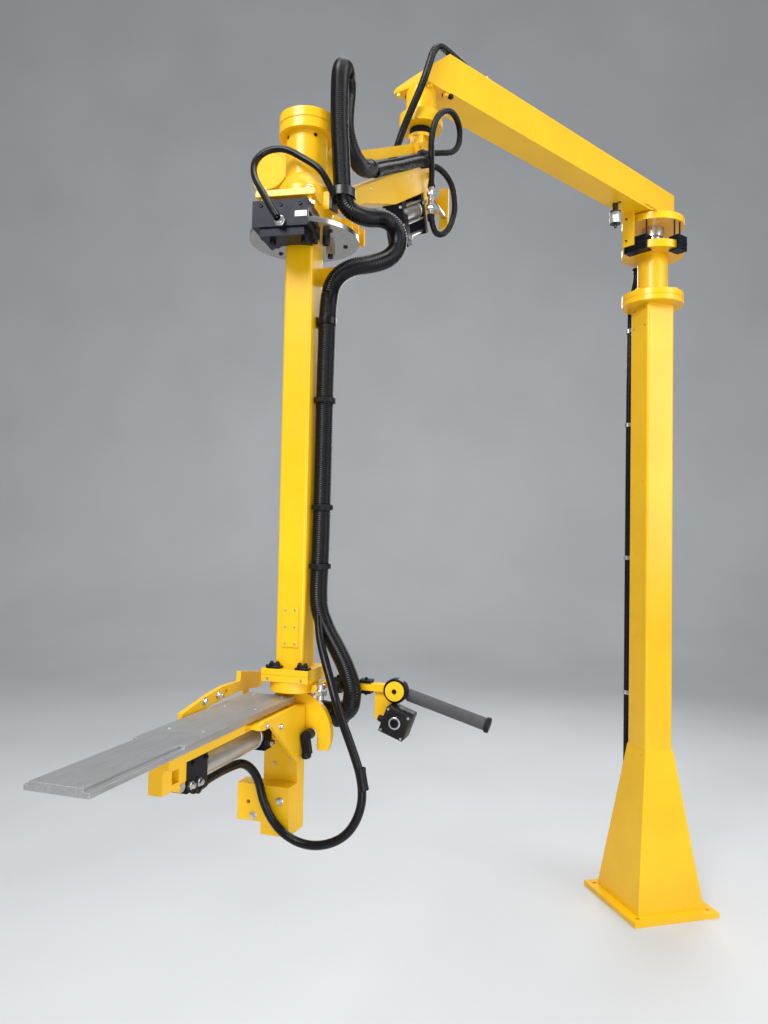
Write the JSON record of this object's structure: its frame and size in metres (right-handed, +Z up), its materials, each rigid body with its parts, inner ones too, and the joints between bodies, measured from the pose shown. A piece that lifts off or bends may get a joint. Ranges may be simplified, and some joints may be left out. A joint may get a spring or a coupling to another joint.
{
  "type": "mold handling manipulator",
  "caption": "Floor-column lift-assist manipulator: swinging box beam, parallelogram second arm, square drop tube with disc brake and a fork-plate tool with handle.",
  "frame": {"origin": "underside of the base plate on the column axis", "axes": "+Z up along the column; X and Y square to the faces of the square column tube"},
  "size_m": [2.7647, 2.3214, 3.6086],
  "materials": {
    "bare_steel": "brushed",
    "black_metal": "satin",
    "black_rubber": "satin",
    "clear_bowl": "gloss",
    "grip_foam": "matte",
    "yellow_paint": "gloss"
  },
  "bodies": {
    "column": {"base_plate": "yellow_paint", "column_post": "yellow_paint", "column_neck": "yellow_paint", "neck_disc": "yellow_paint", "column_spindle": "bare_steel", "column_hose": "black_rubber", "hose_clips": "bare_steel"},
    "primary_arm": {"hub_bearing": "bare_steel", "hub_flange": "yellow_paint", "primary_beam": "yellow_paint", "hub_brake_front": "black_metal", "hub_brake_side": "black_metal", "filter_bowl": "clear_bowl", "elbow_mount": "yellow_paint"},
    "knuckle": {"elbow_ring": "black_metal", "elbow_knuckle": "yellow_paint", "knuckle_bracket": "yellow_paint", "knuckle_fitting": "bare_steel", "knuckle_hose": "black_rubber", "knuckle_loop": "black_rubber", "elbow_hose": "black_rubber"},
    "lower_arm": {"lower_arm": "yellow_paint", "arm_cylinder": "bare_steel", "arm_cylinder_ends": "black_metal"},
    "upper_rod": {"upper_rod": "yellow_paint", "arm_hose_upper": "black_rubber", "arm_hose_lower": "black_rubber", "arm_hose_far": "black_rubber"},
    "head": {"head_body": "yellow_paint", "head_side_boss": "yellow_paint", "head_plate": "yellow_paint", "brake_caliper": "black_metal", "caliper_hose": "black_rubber", "head_bracket": "yellow_paint", "loop_hose": "black_rubber"},
    "drop_tube": {"drop_tube": "yellow_paint", "brake_disc": "bare_steel", "tube_spindle": "bare_steel", "tube_flange": "yellow_paint", "roll_plate": "yellow_paint", "tube_gusset": "yellow_paint", "sweep_hose": "black_rubber", "tube_hose": "black_rubber", "hose_socket": "black_metal", "tool_hose": "black_rubber", "hose_ties": "black_metal", "handle_bar": "yellow_paint", "handle_clamp": "black_metal", "control_box": "black_metal", "handle_grip": "grip_foam"},
    "tool": {"tool_upright": "yellow_paint", "fork_plate": "bare_steel", "support_bar": "yellow_paint", "tool_rib": "yellow_paint", "tool_cylinder": "bare_steel", "cylinder_caps": "black_metal", "tool_yoke": "yellow_paint", "tool_block": "yellow_paint", "side_bar": "yellow_paint", "lock_lever": "black_metal"}
  },
  "joints": [
    {"name": "arm_swing", "type": "hinge", "parent": "column", "child": "primary_arm", "pos_m": [0, 0, 3.35], "axis": [0, 0, 1], "range_deg": [-150, 150]},
    {"name": "elbow_swing", "type": "hinge", "parent": "primary_arm", "child": "knuckle", "pos_m": [-1.48878, -0.74325, 3.3], "axis": [0, 0, 1], "range_deg": [-140, 90], "deforming": ["elbow_hose"]},
    {"name": "arm_lift", "type": "hinge", "parent": "knuckle", "child": "lower_arm", "pos_m": [-1.48878, -0.74325, 3.105], "axis": [-0.7923, 0.6101, 0], "range_deg": [-10, 30]},
    {"name": "rod_swing", "type": "hinge", "parent": "knuckle", "child": "upper_rod", "pos_m": [-1.48878, -0.74325, 3.215], "axis": [-0.7923, 0.6101, 0], "range_deg": [-10, 30], "deforming": ["knuckle_hose", "knuckle_loop", "arm_hose_upper", "arm_hose_lower", "arm_hose_far"]},
    {"name": "head_level", "type": "hinge", "parent": "lower_arm", "child": "head", "pos_m": [-1.93724, -1.32559, 2.703], "axis": [-0.7923, 0.6101, 0], "range_deg": [-30, 10], "deforming": ["loop_hose"]},
    {"name": "tube_turn", "type": "hinge", "parent": "head", "child": "drop_tube", "pos_m": [-2.01046, -1.42066, 2.6], "axis": [0, 0, 1], "range_deg": [-150, 150], "deforming": ["sweep_hose"]},
    {"name": "tool_roll", "type": "hinge", "parent": "drop_tube", "child": "tool", "pos_m": [-2.01046, -1.42066, 1.28], "axis": [-0.5411, -0.8409, 0], "range_deg": [0, 45], "deforming": ["tool_hose"]}
  ],
  "couplings": [
    {"joint": "rod_swing", "follows": "arm_lift", "ratio": 1},
    {"joint": "head_level", "follows": "arm_lift", "ratio": -1}
  ]
}
